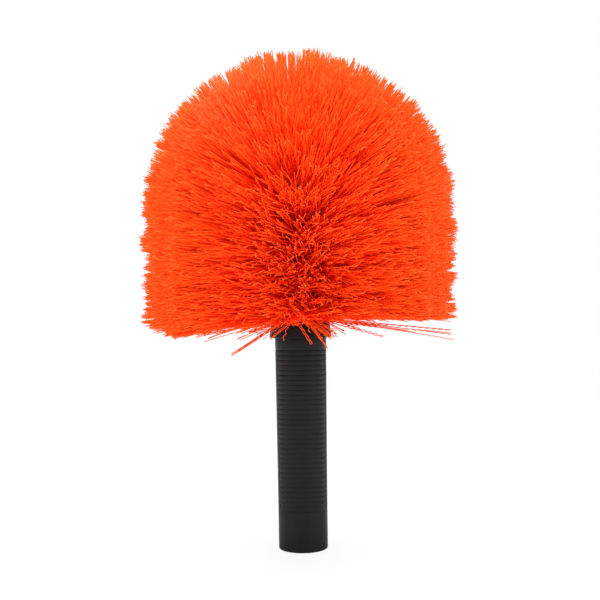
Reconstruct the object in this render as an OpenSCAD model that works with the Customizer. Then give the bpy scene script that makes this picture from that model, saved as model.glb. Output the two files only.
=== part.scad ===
// Cobweb brush head: a round, domed head of splayed bristle tufts on a drilled block,
// carried by a ribbed socket handle that pushes onto a pole.
// Millimetres. The origin is the centre of the handle's open mouth and +Z runs up the axis.

/* [Handle] */
// Length of the handle from its open mouth to the collar
handle_len = 134.5; // [128:0.5:150]
// Outside diameter at the mouth
handle_d_mouth = 31.2; // [30.6:0.1:34]
// Outside diameter under the collar
handle_d_top = 32; // [31:0.1:35]
// Rounding of the outer edge of the mouth
mouth_round = 0.9; // [0.3:0.1:1.4]
// Rounding of the outer edge of the handle's top
top_round = 0.4; // [0.2:0.1:0.8]
// Plain length above the mouth, before the grip ribs start
plain_low = 25.3; // [15:0.1:35]
// Plain length between the grip ribs and the collar
plain_high = 7.5; // [4:0.1:14]
// Distance from one grip rib to the next, rounded to fill the ribbed length
rib_pitch = 3.08; // [2.6:0.02:4.4]
// Depth of the groove between two ribs
rib_depth = 0.32; // [0.15:0.01:0.45]
// How far the crest of a rib stands proud of the plain wall
rib_proud = 0.1; // [0:0.02:0.3]

/* [Pole socket] */
// Diameter of the pole that the socket takes
pole_d = 25; // [22:0.5:25.5]
// Clearance all round the pole
pole_clearance = 0.2; // [0.1:0.05:0.3]
// Thickness of the floor between the pole socket and the spigot's socket
socket_floor_t = 13; // [9:0.5:16]
// Lead-in chamfer of the socket's mouth
lead_in = 0.5; // [0.2:0.1:0.9]

/* [Block and collar] */
// Height of the collar
collar_len = 10.5; // [8:0.5:16]
// Diameter of the collar where it meets the bristle
collar_d_top = 37.5; // [34:0.1:39]
// Diameter of the collar's lower edge
collar_d_low = 39.7; // [38:0.1:44]
// Rounding of the collar's lower edge
collar_round = 0.8; // [0.3:0.1:1.5]
// Rounding of the collar's upper edge
collar_top_round = 1.6; // [0.5:0.1:2.2]
// Diameter of the drilled block that carries the tufts
block_d = 28; // [26:0.5:31]
// Length of the straight part of the block, above the collar
block_len = 71; // [66:0.5:84]
// Diameter of the solid core inside the block
core_d = 18; // [16:0.5:19]
// Diameter of the spigot under the collar
spigot_d = 22; // [18:0.5:23.5]
// Length of the spigot under the collar
spigot_len = 25; // [18:0.5:26]
// Clearance between the spigot and its socket, and between the core and the block
seat_clearance = 0.1; // [0.05:0.05:0.2]
// Gap below the end of the spigot, so that the collar seats first
spigot_gap = 0.5; // [0.3:0.1:1.5]

/* [Bristle] */
// Diameter of the trimmed head
head_d = 199; // [180:1:220]
// Height of the trimmed head above the collar
head_h = 170.5; // [158:0.5:185]
// Height of the lowest strand above the collar where the head is trimmed flat
underside_rise = 0.5; // [0:0.5:4]
// Number of tufts in one row round the block
tufts_per_row = 6; // [5:1:6]
// Diameter of a tuft hole
tuft_hole_d = 5.2; // [4.8:0.1:5.6]
// Depth of a tuft hole that shows below the block's surface
tuft_hole_show = 1.5; // [0.8:0.1:2]
// Radius over which the strands of a tuft leave their hole
tuft_root_r = 2; // [1.7:0.05:2.05]
// Length of a tuft that stands straight before it splays
tuft_straight = 3; // [2:0.5:8]
// Area of the trimmed side that one strand stands for
side_patch = 200; // [190:1:300]
// Area of the trimmed dome that one strand stands for
dome_patch = 265; // [250:1:360]
// Size of a strand at its root, from its middle to a corner
strand_root_r = 0.35; // [0.25:0.01:0.36]
// Size of a strand at its tip, from its middle to a corner
strand_tip_r = 1.35; // [0.7:0.05:1.4]
// Share of a strand's length at which it bends
strand_bend = 0.45; // [0.3:0.05:0.6]
// Sideways wander of a strand at its bend
strand_wander = 1; // [0:0.1:1.2]
// Unevenness of the trimmed tips
trim_uneven = 2.4; // [0:0.1:4]
// How far a tip is moved at random over the trimmed surface
tip_shift = 2.2; // [0:0.1:2.4]
// How much faster the strands fan out towards the crown
fan_power = 5; // [4:0.5:6]

/* [Fastenings] */
// Core diameter of the screw that holds the handle to the block
screw_d = 4.2; // [3.5:0.1:5]
// Length of the screw under its head
screw_len = 32; // [24:1:36]
// Diameter of the screw's head
screw_head_d = 8.4; // [7:0.1:9.5]
// Height of the screw's head
screw_head_h = 2.6; // [2:0.1:3.2]
// Outside diameter of the washer
washer_d = 12; // [10.5:0.5:14]
// Thickness of the washer
washer_t = 1; // [0.8:0.1:1.4]
// Depth of the recess that takes the washer and the head
screw_recess = 4.4; // [4:0.1:5.5]
// Clearance all round the screw, its washer and an anchor
screw_clearance = 0.15; // [0.1:0.05:0.3]
// Width of the flat wire anchor that holds a tuft in its hole
anchor_w = 3.8; // [3:0.1:4]
// Height of an anchor along its hole
anchor_h = 2; // [1.4:0.1:2.2]
// Thickness of an anchor
anchor_t = 0.5; // [0.4:0.05:0.6]

/* [Hidden] */
$fn = 96;
// Length over which a cutting shape runs past the face it cuts
over = 1;

// Heights of the faces that pieces share
collar_z = handle_len;
block_z = collar_z + collar_len;
dome_z = block_z + block_len;
socket_floor_z = collar_z - spigot_len - spigot_gap;
// Depth of the pole socket: the handle's length less its floor and the spigot's socket
pole_depth = socket_floor_z - socket_floor_t;

// Radii that follow from the diameters
bore_r = pole_d / 2 + pole_clearance;
spigot_r = spigot_d / 2;
block_r = block_d / 2;
core_r = core_d / 2;
ring_bore_r = core_r + seat_clearance;
head_r = head_d / 2;
tuft_hole_r = tuft_hole_d / 2;
anchor_hole_r = anchor_w / 2 + screw_clearance;
screw_hole_r = screw_d / 2 + screw_clearance;

// Grip ribs: a whole number of them fills the ribbed length
ribbed_len = handle_len - plain_low - plain_high;
rib_count = round(ribbed_len / rib_pitch);
rib_step = ribbed_len / rib_count;
// Flats along the outline of one rib, and how squarely the rib is filled
rib_flats = 6;
rib_fill = 4;

// Rows of tufts: ring_rows on the straight block, then the rows round its dome
ring_rows = 10;
row_pitch = block_len / ring_rows;
dome_angles = [16, 47, 90];
dome_tufts = [tufts_per_row, tufts_per_row - 1, 1];
last_row = ring_rows + len(dome_angles) - 1;
// Lowest rows, whose strands stand for the trimmed side; the others stand for its dome
side_rows = 7;
// Angle on the dome at which the shoulder ring ends and the crown cap starts
split_angle = (dome_angles[0] + dome_angles[1]) / 2;

// Lengths measured up the block and up the trimmed outline, each ending at the crown
head_side = head_h - head_r;
block_outline = block_len + block_r * PI / 2;
head_outline = head_side + head_r * PI / 2;

// Length and width of the cross recess in the screw's head, as shares of its diameter
drive_len = 0.55;
drive_w = 0.12;
// Least cosine between a tuft hole and a square line to the core's surface
least_square = 0.8;

// Depth of a strand's root below the floor of its hole
strand_embed = 1.2;
// Number of sides of a strand
strand_sides = 3;
// Shape of the splay: 1 is a straight strand, and more bends it later
splay_power = 1.2;
// Widest gap along the outline between two rows of tips in one tuft
tip_row_gap = 14;
// Share of a cell by which every other row of tips in a tuft is shifted round the head
tip_stagger = 0.5;
// Height of a tuft's gathered root as a share of its width
root_flat = 0.8;
// Least height of a spread tuft, as a share of its width, that its root's height follows
least_spread = 0.3;

plastic_black = [0.17, 0.17, 0.18];
bristle_orange = [0.98, 0.29, 0.07];
steel_grey = [0.72, 0.73, 0.75];

// Points of an arc about a centre in the outline's plane
function arc(centre, r, from, to, steps = 6) =
    [for (k = [0 : steps]) let (a = from + (to - from) * k / steps)
        centre + r * [cos(a), sin(a)]];

// Radius of the plain handle wall at a height: moulding draft makes it a slight taper
function wall_r(z) = (handle_d_mouth + (handle_d_top - handle_d_mouth) * z / handle_len) / 2;

// Outline of one grip rib, from the groove below it to just short of the groove above it
function rib_outline(i) =
    [for (k = [0 : rib_flats - 1])
        let (u = k / rib_flats, z = plain_low + (i + u) * rib_step)
        [wall_r(z) + rib_proud - rib_depth * pow(abs(2 * u - 1), rib_fill), z]];

// The socket handle: ribbed outside, with a pole socket below and a spigot socket above
module socket_handle() {
    color(plastic_black)
    difference() {
        rotate_extrude()
        polygon(concat(
            [[0, 0]],
            arc([wall_r(0) - mouth_round, mouth_round], mouth_round, -90, 0),
            [[wall_r(plain_low), plain_low - rib_step / rib_flats]],
            [for (i = [0 : rib_count - 1]) each rib_outline(i)],
            [[wall_r(handle_len) + rib_proud - rib_depth, handle_len - plain_high],
             [wall_r(handle_len), handle_len - plain_high + rib_step / rib_flats]],
            arc([wall_r(handle_len) - top_round, handle_len - top_round], top_round, 0, 90),
            [[0, handle_len]]));
        pole_socket();
        spigot_socket();
        screw_way();
    }
}

// Void of the pole socket with its lead-in chamfer
module pole_socket() {
    translate([0, 0, -over]) cylinder(r = bore_r, h = pole_depth + over);
    translate([0, 0, -over])
    cylinder(r1 = bore_r + lead_in + over, r2 = bore_r, h = lead_in + over);
}

// Void above the floor, where the block's spigot seats
module spigot_socket() {
    translate([0, 0, socket_floor_z])
    cylinder(r = spigot_r + seat_clearance, h = handle_len - socket_floor_z + over);
}

// Void through the floor between the two sockets: the screw's hole and its recess
module screw_way() {
    translate([0, 0, pole_depth - over])
    cylinder(r = washer_d / 2 + screw_clearance, h = screw_recess + over);
    translate([0, 0, pole_depth])
    cylinder(r = screw_hole_r, h = socket_floor_z - pole_depth + over);
}

// The block's own solid: collar, spigot with its pilot hole, and domed core
module brush_block() {
    color(plastic_black)
    difference() {
        union() {
            collar();
            translate([0, 0, collar_z - spigot_len])
            cylinder(r = spigot_r, h = spigot_len + over);
            translate([0, 0, block_z - over]) cylinder(r = core_r, h = block_len + over);
            translate([0, 0, dome_z]) sphere(r = core_r);
        }
        translate([0, 0, collar_z - spigot_len - over])
        cylinder(r = screw_hole_r, h = screw_reach + over);
        for (i = [0 : last_row], k = [0 : row_tufts(i) - 1])
            in_hole(i, k, core_depth(i) + anchor_h)
            cylinder(r = anchor_hole_r, h = core_r + anchor_h);
    }
}

// How far the pilot hole runs up the spigot, past the end of the screw
screw_reach = pole_depth + screw_recess - washer_t + screw_len + over
    - (collar_z - spigot_len);

// Collar between the handle and the bristle, wider at its lower edge
module collar() {
    low_r = collar_d_low / 2;
    top_r = collar_d_top / 2;
    rotate_extrude()
    polygon(concat(
        [[0, collar_z]],
        arc([low_r - collar_round, collar_z + collar_round], collar_round, -90, 0),
        arc([top_r - collar_top_round, block_z - collar_top_round], collar_top_round, 0, 90),
        [[0, block_z]]));
}

// The screw, driven up from inside the pole socket before the pole goes in
module fixing_screw() {
    head_top = pole_depth + screw_recess - washer_t;
    color(steel_grey)
    difference() {
        union() {
            translate([0, 0, head_top]) cylinder(r = screw_d / 2, h = screw_len - screw_d);
            translate([0, 0, head_top + screw_len - screw_d])
            cylinder(r1 = screw_d / 2, r2 = screw_d / 8, h = screw_d);
            translate([0, 0, head_top])
            mirror([0, 0, 1]) rotate_extrude()
            polygon(concat([[0, 0], [screw_head_d / 2, 0]],
                arc([screw_head_d / 2 - screw_head_h / 2, screw_head_h / 2],
                    screw_head_h / 2, 0, 90),
                [[0, screw_head_h]]));
        }
        for (turn = [0, 90])
            translate([0, 0, head_top - screw_head_h]) rotate([0, 0, turn])
            cube([screw_head_d * drive_len, screw_head_d * drive_w, screw_head_h], center = true);
    }
}

// The washer between the screw's head and the handle's floor
module screw_washer() {
    color(steel_grey)
    translate([0, 0, pole_depth + screw_recess - washer_t])
    difference() {
        cylinder(r = washer_d / 2, h = washer_t);
        translate([0, 0, -over]) cylinder(r = screw_hole_r, h = washer_t + 2 * over);
    }
}

// Number of tufts in a row, and the azimuth of one of them: each row is staggered
function row_tufts(i) = i < ring_rows ? tufts_per_row : dome_tufts[i - ring_rows];
function tuft_turn(i, k) = (k + (i % 2) / 2) * 360 / row_tufts(i);

// Distance of a row up the block's outline
function row_up(i) = i < ring_rows ? (i + 0.5) * row_pitch
    : block_len + block_r * dome_angles[i - ring_rows] * PI / 180;

// Where a strand that leaves the block at one distance meets the trimmed outline:
// level near the collar, and fanning out ever faster towards the crown
function fan(up) = up + (head_outline - block_outline) * pow(up / block_outline, fan_power);

// Lowest and highest distance up the trimmed outline that a row's strands cover
function zone_low(i) = i == 0 ? underside_rise : (fan(row_up(i - 1)) + fan(row_up(i))) / 2;
function zone_high(i) = i == last_row ? head_outline
    : (fan(row_up(i)) + fan(row_up(i + 1))) / 2;

// Radius and height of a point on a domed outline, a distance up from the collar
function domed(up, side, r) = up < side ? [r, up]
    : let (a = (up - side) / r * 180 / PI) [r * cos(a), side + r * sin(a)];
function block_point(up) = domed(up, block_len, block_r);
function trim_point(up, cut = 0) =
    let (whole = domed(up, head_side, head_r), a = max(0, up - head_side) / head_r * 180 / PI)
    whole - cut * [cos(a), sin(a)];

// A point of such an outline, turned to its azimuth and set above the collar
function turned(point, a) = [point.x * cos(a), point.x * sin(a), block_z + point.y];
function unit(v) = v / norm(v);

// Middle of a tuft hole's mouth, and the direction in which it is drilled
function hole_mouth(i, k) = turned(block_point(row_up(i)), tuft_turn(i, k));
function hole_axis(i, k) =
    unit(turned(trim_point(fan(row_up(i))), tuft_turn(i, k)) - hole_mouth(i, k));

// Distance along a hole from its mouth in to the core's surface
function core_depth(i) = (block_r - core_r) / max(least_square,
    hole_axis(i, 0) * unit(hole_mouth(i, 0) - [0, 0, min(dome_z, hole_mouth(i, 0).z)]));

// Places its children along a tuft hole, a depth below the hole's mouth
module in_hole(i, k, depth) {
    axis = hole_axis(i, k);
    translate(hole_mouth(i, k) - depth * axis)
    rotate([0, acos(axis.z), tuft_turn(i, k)])
    children();
}

// Tips of one tuft's strands: rows up its zone of the trimmed surface, then round it
function tuft_tips(i, k) =
    let (patch = i < side_rows ? side_patch : dome_patch,
        low = zone_low(i), rise = zone_high(i) - low, sector = 360 / row_tufts(i),
        rows = ceil(rise / tip_row_gap), cell_h = rise / rows)
    [for (j = [0 : rows - 1])
        let (up = low + (j + 0.5) * cell_h,
            round_len = trim_point(up).x * sector * PI / 180,
            across = max(1, round(round_len * cell_h / patch)),
            stagger = rows > 1 ? tip_stagger : 0)
        for (n = [0 : across - 1])
            let (lot = rands(-1, 1, 3, 1 + n + 20 * (j + 5 * (k + 8 * i))),
                share = (n + 0.5 + stagger * (j % 2 - 0.5)) / across - 0.5
                    + lot[1] * tip_shift / round_len,
                cut = trim_uneven * (lot[2] + 1) / 2)
            turned(trim_point(up + lot[0] * tip_shift, cut), tuft_turn(i, k) + share * sector)];

// A tuft's own directions: out of its hole, round the block, and square to both
function tuft_frame(i, k) =
    let (out = hole_axis(i, k), a = tuft_turn(i, k), round = [-sin(a), cos(a), 0])
    [out, round, cross(out, round)];

// A line from the hole's mouth to a tip, measured in the tuft's directions
function in_frame(frame, v) = [for (direction = frame) direction * v];

// Scales that gather a tuft's spread tips into its hole, in each direction of its frame
function gather(spread) =
    let (wide = max([for (v = spread) abs(v[1])]), high = max([for (v = spread) abs(v[2])]))
    [1, tuft_root_r / wide, tuft_root_r * root_flat / max(high, wide * least_spread)];

// Middle line of one strand: straight out of its hole, then splayed to its tip
function strand_line(mouth, frame, v, hold, lot) =
    let (root = [0, hold[1] * v[1], hold[2] * v[2]], splay = pow(strand_bend, splay_power),
        bend = [strand_bend * v[0],
            root[1] + (v[1] - root[1]) * splay + strand_wander * cos(lot) / 2,
            root[2] + (v[2] - root[2]) * splay + strand_wander * sin(lot) / 2])
    [for (at = [root - [tuft_hole_show + strand_embed, 0, 0],
            root + [tuft_straight, 0, 0], bend, v])
        mouth + at[0] * frame[0] + at[1] * frame[1] + at[2] * frame[2]];

// One strand: a three-sided bristle that widens a little to its tip
module strand(line, lot) {
    along = unit(line[len(line) - 1] - line[0]);
    beside = unit(cross(along, abs(along.z) < 0.9 ? [0, 0, 1] : [1, 0, 0]));
    across = cross(beside, along);
    rings = len(line);
    far = norm(line[rings - 1] - line[1]);
    points = [for (m = [0 : rings - 1], c = [0 : strand_sides - 1])
        let (gone = max(0, (line[m] - line[1]) * along) / far,
            r = strand_root_r + (strand_tip_r - strand_root_r) * gone,
            a = lot + c * 360 / strand_sides)
        line[m] + r * (cos(a) * beside + sin(a) * across)];
    walls = [for (m = [0 : rings - 2], c = [0 : strand_sides - 1])
        let (here = m * strand_sides + c, next = m * strand_sides + (c + 1) % strand_sides)
        each [[here, next, next + strand_sides],
            [here, next + strand_sides, here + strand_sides]]];
    root = [for (c = [strand_sides - 1 : -1 : 0]) c];
    end = [for (c = [0 : strand_sides - 1]) (rings - 1) * strand_sides + c];
    polyhedron(points, concat(walls, [root, end]));
}

// All strands of one tuft, gathered into their hole
module tuft(i, k) {
    mouth = hole_mouth(i, k);
    frame = tuft_frame(i, k);
    spread = [for (tip = tuft_tips(i, k)) in_frame(frame, tip - mouth)];
    hold = gather(spread);
    for (n = [0 : len(spread) - 1])
        let (lot = rands(0, 360, 1, n + 20 * (k + 8 * i))[0])
        strand(strand_line(mouth, frame, spread[n], hold, lot), lot);
}

// A slice of the block with its tuft holes, and the tufts of its rows
module tufted(rows) {
    color(bristle_orange) {
        difference() {
            children();
            for (i = rows, k = [0 : row_tufts(i) - 1])
                in_hole(i, k, tuft_hole_show)
                cylinder(r = tuft_hole_r, h = tuft_hole_show + block_r);
        }
        for (i = rows, k = [0 : row_tufts(i) - 1]) tuft(i, k);
    }
}

// One ring of the straight block
module tuft_ring(i) {
    tufted([i])
    translate([0, 0, block_z + i * row_pitch])
    difference() {
        cylinder(r = block_r, h = row_pitch);
        translate([0, 0, -over]) cylinder(r = ring_bore_r, h = row_pitch + 2 * over);
    }
}

// The block's dome between two heights above its base, hollow for the core
module dome_slice(low, high) {
    translate([0, 0, dome_z])
    difference() {
        intersection() {
            sphere(r = block_r);
            translate([0, 0, low]) cylinder(r = block_r + over, h = high - low);
        }
        sphere(r = ring_bore_r);
    }
}

split_h = block_r * sin(split_angle);

module tuft_row_1() { tuft_ring(0); }
module tuft_row_2() { tuft_ring(1); }
module tuft_row_3() { tuft_ring(2); }
module tuft_row_4() { tuft_ring(3); }
module tuft_row_5() { tuft_ring(4); }
module tuft_row_6() { tuft_ring(5); }
module tuft_row_7() { tuft_ring(6); }
module tuft_row_8() { tuft_ring(7); }
module tuft_row_9() { tuft_ring(8); }
module tuft_row_10() { tuft_ring(9); }
module shoulder_tufts() { tufted([ring_rows]) dome_slice(0, split_h); }
module crown_tufts() {
    tufted([for (i = [ring_rows + 1 : last_row]) i]) dome_slice(split_h, block_r + over);
}

// Flat wire anchors, one across the foot of each tuft, at the bottom of its hole
module tuft_anchors() {
    color(steel_grey)
    for (i = [0 : last_row], k = [0 : row_tufts(i) - 1])
        in_hole(i, k, core_depth(i) + anchor_h)
        translate([-anchor_t / 2, -anchor_w / 2, 0])
        cube([anchor_t, anchor_w, anchor_h]);
}

echo(strands = sum_strands(last_row));
function sum_strands(i) = i < 0 ? 0
    : row_tufts(i) * len(tuft_tips(i, 0)) + sum_strands(i - 1);

socket_handle();
brush_block();
fixing_screw();
screw_washer();
tuft_anchors();
tuft_row_1();
tuft_row_2();
tuft_row_3();
tuft_row_4();
tuft_row_5();
tuft_row_6();
tuft_row_7();
tuft_row_8();
tuft_row_9();
tuft_row_10();
shoulder_tufts();
crown_tufts();
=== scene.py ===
"""Cobweb brush: a domed head of crimped bristle on a drilled block, in a ribbed socket handle.

The pieces' sizes are millimetres, the studio's are metres, and angles in fields are degrees.
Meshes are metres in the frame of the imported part: the origin is the centre of the handle's open
mouth and +Z runs up the brush's axis.
"""

import logging
import math
from dataclasses import dataclass
from enum import Enum
from typing import Sequence

import bmesh
import bpy
import numpy as np
from mathutils import Euler, Matrix, Vector


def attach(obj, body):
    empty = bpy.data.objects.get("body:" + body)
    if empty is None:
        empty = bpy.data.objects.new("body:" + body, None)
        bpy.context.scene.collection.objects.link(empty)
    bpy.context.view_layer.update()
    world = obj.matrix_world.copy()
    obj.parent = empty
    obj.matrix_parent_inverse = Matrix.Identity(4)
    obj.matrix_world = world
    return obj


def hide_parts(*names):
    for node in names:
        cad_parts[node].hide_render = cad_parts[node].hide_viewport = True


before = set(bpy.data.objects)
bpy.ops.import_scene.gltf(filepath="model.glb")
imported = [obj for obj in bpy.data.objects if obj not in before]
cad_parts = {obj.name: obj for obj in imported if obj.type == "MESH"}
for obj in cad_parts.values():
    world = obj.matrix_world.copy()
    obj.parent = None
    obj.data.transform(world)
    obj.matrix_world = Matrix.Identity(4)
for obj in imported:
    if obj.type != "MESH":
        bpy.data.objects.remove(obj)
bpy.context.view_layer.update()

MM = 0.001
SAME_POINT = 1e-7
FACETS = 120
CREASE = 34.0
BODY = "root"
log = logging.getLogger("cobweb_brush")

Colour = tuple[float, float, float, float]
Span = tuple[float, float]
Point = tuple[float, float, float]
Outline = list[Span]
Chance = np.random.Generator
Arrays = tuple[np.ndarray, np.ndarray]

WHITE: Colour = (1.0, 1.0, 1.0, 1.0)
PLASTIC_IOR = 1.5


class Slot(Enum):
    """The record's material slots, listed but not used by the code below."""

    HANDLE = "handle_plastic"
    BLOCK = "block_plastic"
    BRISTLE = "bristle"


# Shader maths


class Value:
    """A node's output that takes part in Python arithmetic, each operation adding a Math node."""

    def __init__(self, graph: "Graph", socket: bpy.types.NodeSocket) -> None:
        """Wraps one output socket of a graph."""
        self.graph = graph
        self.socket = socket

    def _math(self, operation: str, first: "Value | float", second: "Value | float") -> "Value":
        """Adds one Math node."""
        return self.graph.node("ShaderNodeMath", {"operation": operation}, {0: first, 1: second})

    def __add__(self, other: "Value | float") -> "Value":
        """Returns self + other."""
        return self._math("ADD", self, other)

    def __sub__(self, other: "Value | float") -> "Value":
        """Returns self - other."""
        return self._math("SUBTRACT", self, other)

    def __rsub__(self, other: float) -> "Value":
        """Returns other - self."""
        return self._math("SUBTRACT", other, self)

    def __mul__(self, other: "Value | float") -> "Value":
        """Returns self * other."""
        return self._math("MULTIPLY", self, other)

    __radd__, __rmul__ = __add__, __mul__


class Graph:
    """The node tree of a finish or of the studio's surroundings."""

    def __init__(self, owner: bpy.types.ID) -> None:
        """Empties the tree of a new material or world."""
        owner.use_nodes = True
        self.owner, self.tree = owner, owner.node_tree
        self.tree.nodes.clear()

    def node(self, kind: str, settings: dict[str, object] | None = None,
             inputs: dict[str | int, object] | None = None, output: int | str = 0) -> Value:
        """Adds a node of any kind.

        Args:
            kind: the node's type name.
            settings: its properties, set before its sockets; "stops" fills a colour ramp.
            inputs: values or links by socket name or number.
            output: the output socket to return.

        Returns:
            The chosen output.
        """
        made = self.tree.nodes.new(kind)
        for key, value in (settings or {}).items():
            if key == "stops":
                self._fill_ramp(made, value)
            else:
                setattr(made, key, value)
        for key, value in (inputs or {}).items():
            if isinstance(value, Value):
                self.tree.links.new(value.socket, made.inputs[key])
            else:
                made.inputs[key].default_value = value
        return Value(self, made.outputs[output])

    @staticmethod
    def _fill_ramp(made: bpy.types.Node, stops: Sequence[tuple[float, Colour]]) -> None:
        """Gives a colour ramp its stops."""
        elements = made.color_ramp.elements
        while len(elements) > 1:
            elements.remove(elements[-1])
        elements[0].position, elements[0].color = stops[0]
        for place, colour in stops[1:]:
            elements.new(place).color = colour

    def attribute(self, name: str) -> Value:
        """Returns a number stored on the piece's own points."""
        return self.node("ShaderNodeAttribute", {"attribute_name": name}, output="Fac")

    def place(self) -> Value:
        """Returns Object coordinates, in metres."""
        return self.node("ShaderNodeTexCoord", output="Object")

    def noise(self, scale: float, detail: float = 2.0, where: Value | None = None) -> Value:
        """Returns noise from 0 to 1 over Object coordinates."""
        return self.node("ShaderNodeTexNoise", {},
                         {"Vector": where or self.place(), "Scale": scale, "Detail": detail})

    def blend(self, share: Value | float, first: object, second: object,
              mode: str = "MIX") -> Value:
        """Mixes the given share of a second colour into a first."""
        return self.node("ShaderNodeMix", {"data_type": "RGBA", "blend_type": mode},
                         {0: share, 6: first, 7: second}, output=2)

    def spread(self, value: Value, low: float, high: float, to_low: float,
               to_high: float) -> Value:
        """Maps a number from one range to another, held at both ends."""
        return self.node("ShaderNodeMapRange", {},
                         {"Value": value, "From Min": low, "From Max": high,
                          "To Min": to_low, "To Max": to_high})

    def finish(self, inputs: dict[str, object]) -> bpy.types.Material:
        """Closes a material's tree with a Principled shader that has these inputs."""
        self.close(self.node("ShaderNodeBsdfPrincipled", {}, inputs))
        return self.owner

    def close(self, surface: Value, kind: str = "ShaderNodeOutputMaterial") -> None:
        """Links a shader to the tree's output, which is a node of the given kind."""
        made = self.tree.nodes.new(kind)
        self.tree.links.new(surface.socket, made.inputs["Surface"])


# Finishes


@dataclass(frozen=True)
class MouldedPlastic:
    """Black injection-moulded plastic with a fine satin grain, flow marks and light scuffs."""

    name: str
    colour: Colour = (0.0060, 0.0065, 0.0073, 1.0)
    dust: Colour = (0.014, 0.0142, 0.0148, 1.0)
    roughness: float = 0.44
    gloss: float = 0.11
    cloud_scale: float = 28.0
    grain_scale: float = 2600.0
    grain_depth: float = 0.0002
    scuff_scale: Point = (60.0, 60.0, 900.0)

    def material(self) -> bpy.types.Material:
        """Returns the finish as a node material."""
        graph = Graph(bpy.data.materials.new(self.name))
        where = graph.place()
        cloud = graph.noise(self.cloud_scale, 4.0, where)
        fine = graph.noise(self.grain_scale, 1.0, where)
        drawn = graph.node("ShaderNodeMapping", {}, {"Vector": where, "Scale": self.scuff_scale})
        scuff = graph.spread(graph.noise(1.0, 3.0, drawn), 0.6, 0.78, 0.0, 1.0)
        rubbed = scuff * graph.spread(cloud, 0.45, 0.7, 0.1, 0.5)
        base = graph.blend(rubbed, self.colour, self.dust)
        rough = self.roughness + 0.1 * cloud + 0.12 * rubbed + 0.06 * fine
        bump = graph.node("ShaderNodeBump", {}, {"Strength": 0.35, "Distance": self.grain_depth,
                                                 "Height": fine})
        return graph.finish({"Base Color": base, "Roughness": rough, "IOR": PLASTIC_IOR,
                             "Specular IOR Level": self.gloss, "Normal": bump})


@dataclass(frozen=True)
class CrimpedBristle:
    """Bright orange extruded filament, one colour all through, with light and shade painted along
    it.

    The colours from root to tip stand at stops: the deep root is painted shade and the pale tip is
    painted light shining through it. The cut end, which starts within cut, carries a painted
    highlight, and each filament's own tone shifts its colours and deepens them at random towards
    shade.
    """

    name: str = "crimped_bristle"
    # Painted shade deepens the root and inner colours, and painted light pales the tip; the
    # plastic is one orange.
    root: Colour = (0.90, 0.012, 0.001, 1.0)
    inner: Colour = (0.98, 0.018, 0.001, 1.0)
    outer: Colour = (1.0, 0.026, 0.001, 1.0)
    tip: Colour = (1.0, 0.100, 0.010, 1.0)
    stops: tuple[float, ...] = (0.0, 0.35, 0.76, 1.0)
    # Painted highlight on each filament's cut end.
    cut_end_highlight: Colour = (1.0, 0.14, 0.03, 1.0)
    cut: Span = (0.984, 0.992)
    shade: Colour = (1.0, 0.55, 0.5, 1.0)
    shade_share: float = 0.3
    tone_shift: float = 0.08
    roughness: float = 0.42
    roughness_spread: float = 0.12
    gloss: float = 0.03

    def material(self) -> bpy.types.Material:
        """Returns the finish as a node material."""
        graph = Graph(bpy.data.materials.new(self.name))
        along, tone = graph.attribute("along"), graph.attribute("tone")
        stops = list(zip(self.stops, (self.root, self.inner, self.outer, self.tip)))
        # The ramp paints shade at the root and light at the tip along each filament.
        length = graph.node("ShaderNodeValToRGB", {"stops": stops},
                            {"Fac": along + self.tone_shift * (tone - 0.5)})
        # Paints the highlight on the last share of each filament, its cut end.
        colour = graph.blend(graph.spread(along, *self.cut, 0.0, 1.0), length, self.cut_end_highlight)
        deep = graph.spread(tone, 0.0, 1.0, self.shade_share, 0.0)
        rough = self.roughness + self.roughness_spread * (tone - 0.5)
        return graph.finish({"Base Color": graph.blend(deep, colour, self.shade, "MULTIPLY"),
                             "Roughness": rough, "IOR": PLASTIC_IOR,
                             "Specular IOR Level": self.gloss})


@dataclass(frozen=True)
class PlatedSteel:
    """Plated steel with a fine brushed and slightly clouded surface."""

    name: str
    colour: Colour = (0.62, 0.62, 0.64, 1.0)
    dull: Colour = (0.42, 0.42, 0.45, 1.0)
    roughness: float = 0.28
    cloud_scale: float = 420.0
    grain_scale: float = 5200.0
    grain_depth: float = 0.0001

    def material(self) -> bpy.types.Material:
        """Returns the finish as a node material."""
        graph = Graph(bpy.data.materials.new(self.name))
        cloud = graph.noise(self.cloud_scale, 5.0)
        fine = graph.noise(self.grain_scale, 2.0)
        bump = graph.node("ShaderNodeBump", {}, {"Strength": 0.2, "Distance": self.grain_depth,
                                                 "Height": fine})
        return graph.finish({"Base Color": graph.blend(cloud, self.colour, self.dull),
                             "Metallic": 1.0, "Roughness": self.roughness + 0.2 * cloud,
                             "Normal": bump})


# Mesh helpers


def arc(centre: Span, radius: float, start: float, end: float, steps: int = 8) -> Outline:
    """Points of an arc from start to end degrees, where 0 points away from the axis."""
    angles = [math.radians(start + (end - start) * k / steps) for k in range(steps + 1)]
    return [(centre[0] + radius * math.cos(a), centre[1] + radius * math.sin(a)) for a in angles]


def lathe(name: str, outline: Outline, closed: bool) -> bpy.types.Object:
    """Turns an outline round the brush's axis into a closed solid.

    Args:
        name: the new piece's name.
        outline: radii and heights in millimetres.
        closed: True where the last point joins the first, as on a solid with a hole through it.

    Returns:
        The new object.
    """
    shape = bmesh.new()
    points = [shape.verts.new((r * MM, 0.0, z * MM)) for r, z in outline]
    pairs = list(zip(points, points[1:])) + ([(points[-1], points[0])] if closed else [])
    lines = [shape.edges.new(pair) for pair in pairs]
    bmesh.ops.spin(shape, geom=points + lines, cent=(0, 0, 0), axis=(0, 0, 1),
                   angle=math.tau, steps=FACETS, use_merge=True)
    bmesh.ops.remove_doubles(shape, verts=shape.verts, dist=SAME_POINT)
    bmesh.ops.recalc_face_normals(shape, faces=shape.faces)
    for face in shape.faces:
        face.smooth = True
    for edge in shape.edges:
        edge.smooth = edge.calc_face_angle(0.0) < math.radians(CREASE)
    return link(name, shape)


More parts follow.
